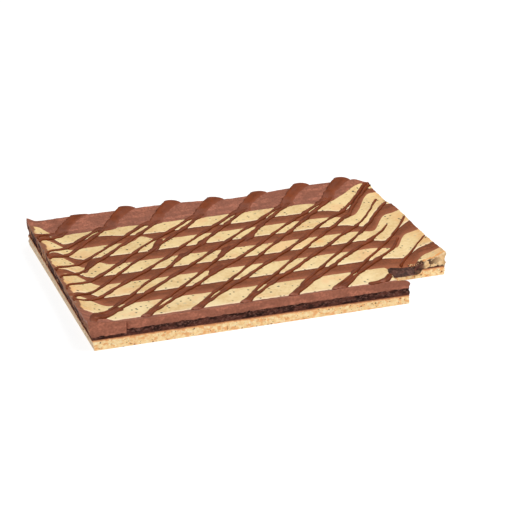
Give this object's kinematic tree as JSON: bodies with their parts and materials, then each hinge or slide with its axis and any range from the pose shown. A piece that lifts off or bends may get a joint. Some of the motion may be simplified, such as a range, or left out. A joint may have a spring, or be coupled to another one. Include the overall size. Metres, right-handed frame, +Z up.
{
  "type": "sheet brownie",
  "caption": "Rectangular tray bake with a square cut from one corner: striped chocolate and pale dough layer with a raised rim and chocolate drizzle on a flat biscuit base.",
  "frame": {"origin": "bottom centre of the whole sheet's bounding box, on the surface that it rests on", "axes": "+X along the front edge to the right, +Y from the front edge to the back, +Z up"},
  "size_m": [0.3872, 0.2711, 0.0329],
  "materials": {
    "biscuit": "dry, porous golden biscuit crumb",
    "brownie": "soft baked chocolate skin with a slight sheen over a near-black crumb",
    "dough": "smooth pale dough with small dark flecks and a glossy chocolate drizzle"
  },
  "bodies": {
    "root": {"biscuit_base": "biscuit", "brownie_band_1": "brownie", "brownie_band_2": "brownie", "brownie_band_3": "brownie", "brownie_band_4": "brownie", "brownie_band_5": "brownie", "brownie_band_6": "brownie", "dough_band_1": "dough", "dough_band_2": "dough", "dough_band_3": "dough", "dough_band_4": "dough", "dough_band_5": "dough", "dough_band_1_end": "dough"}
  },
  "joints": []
}
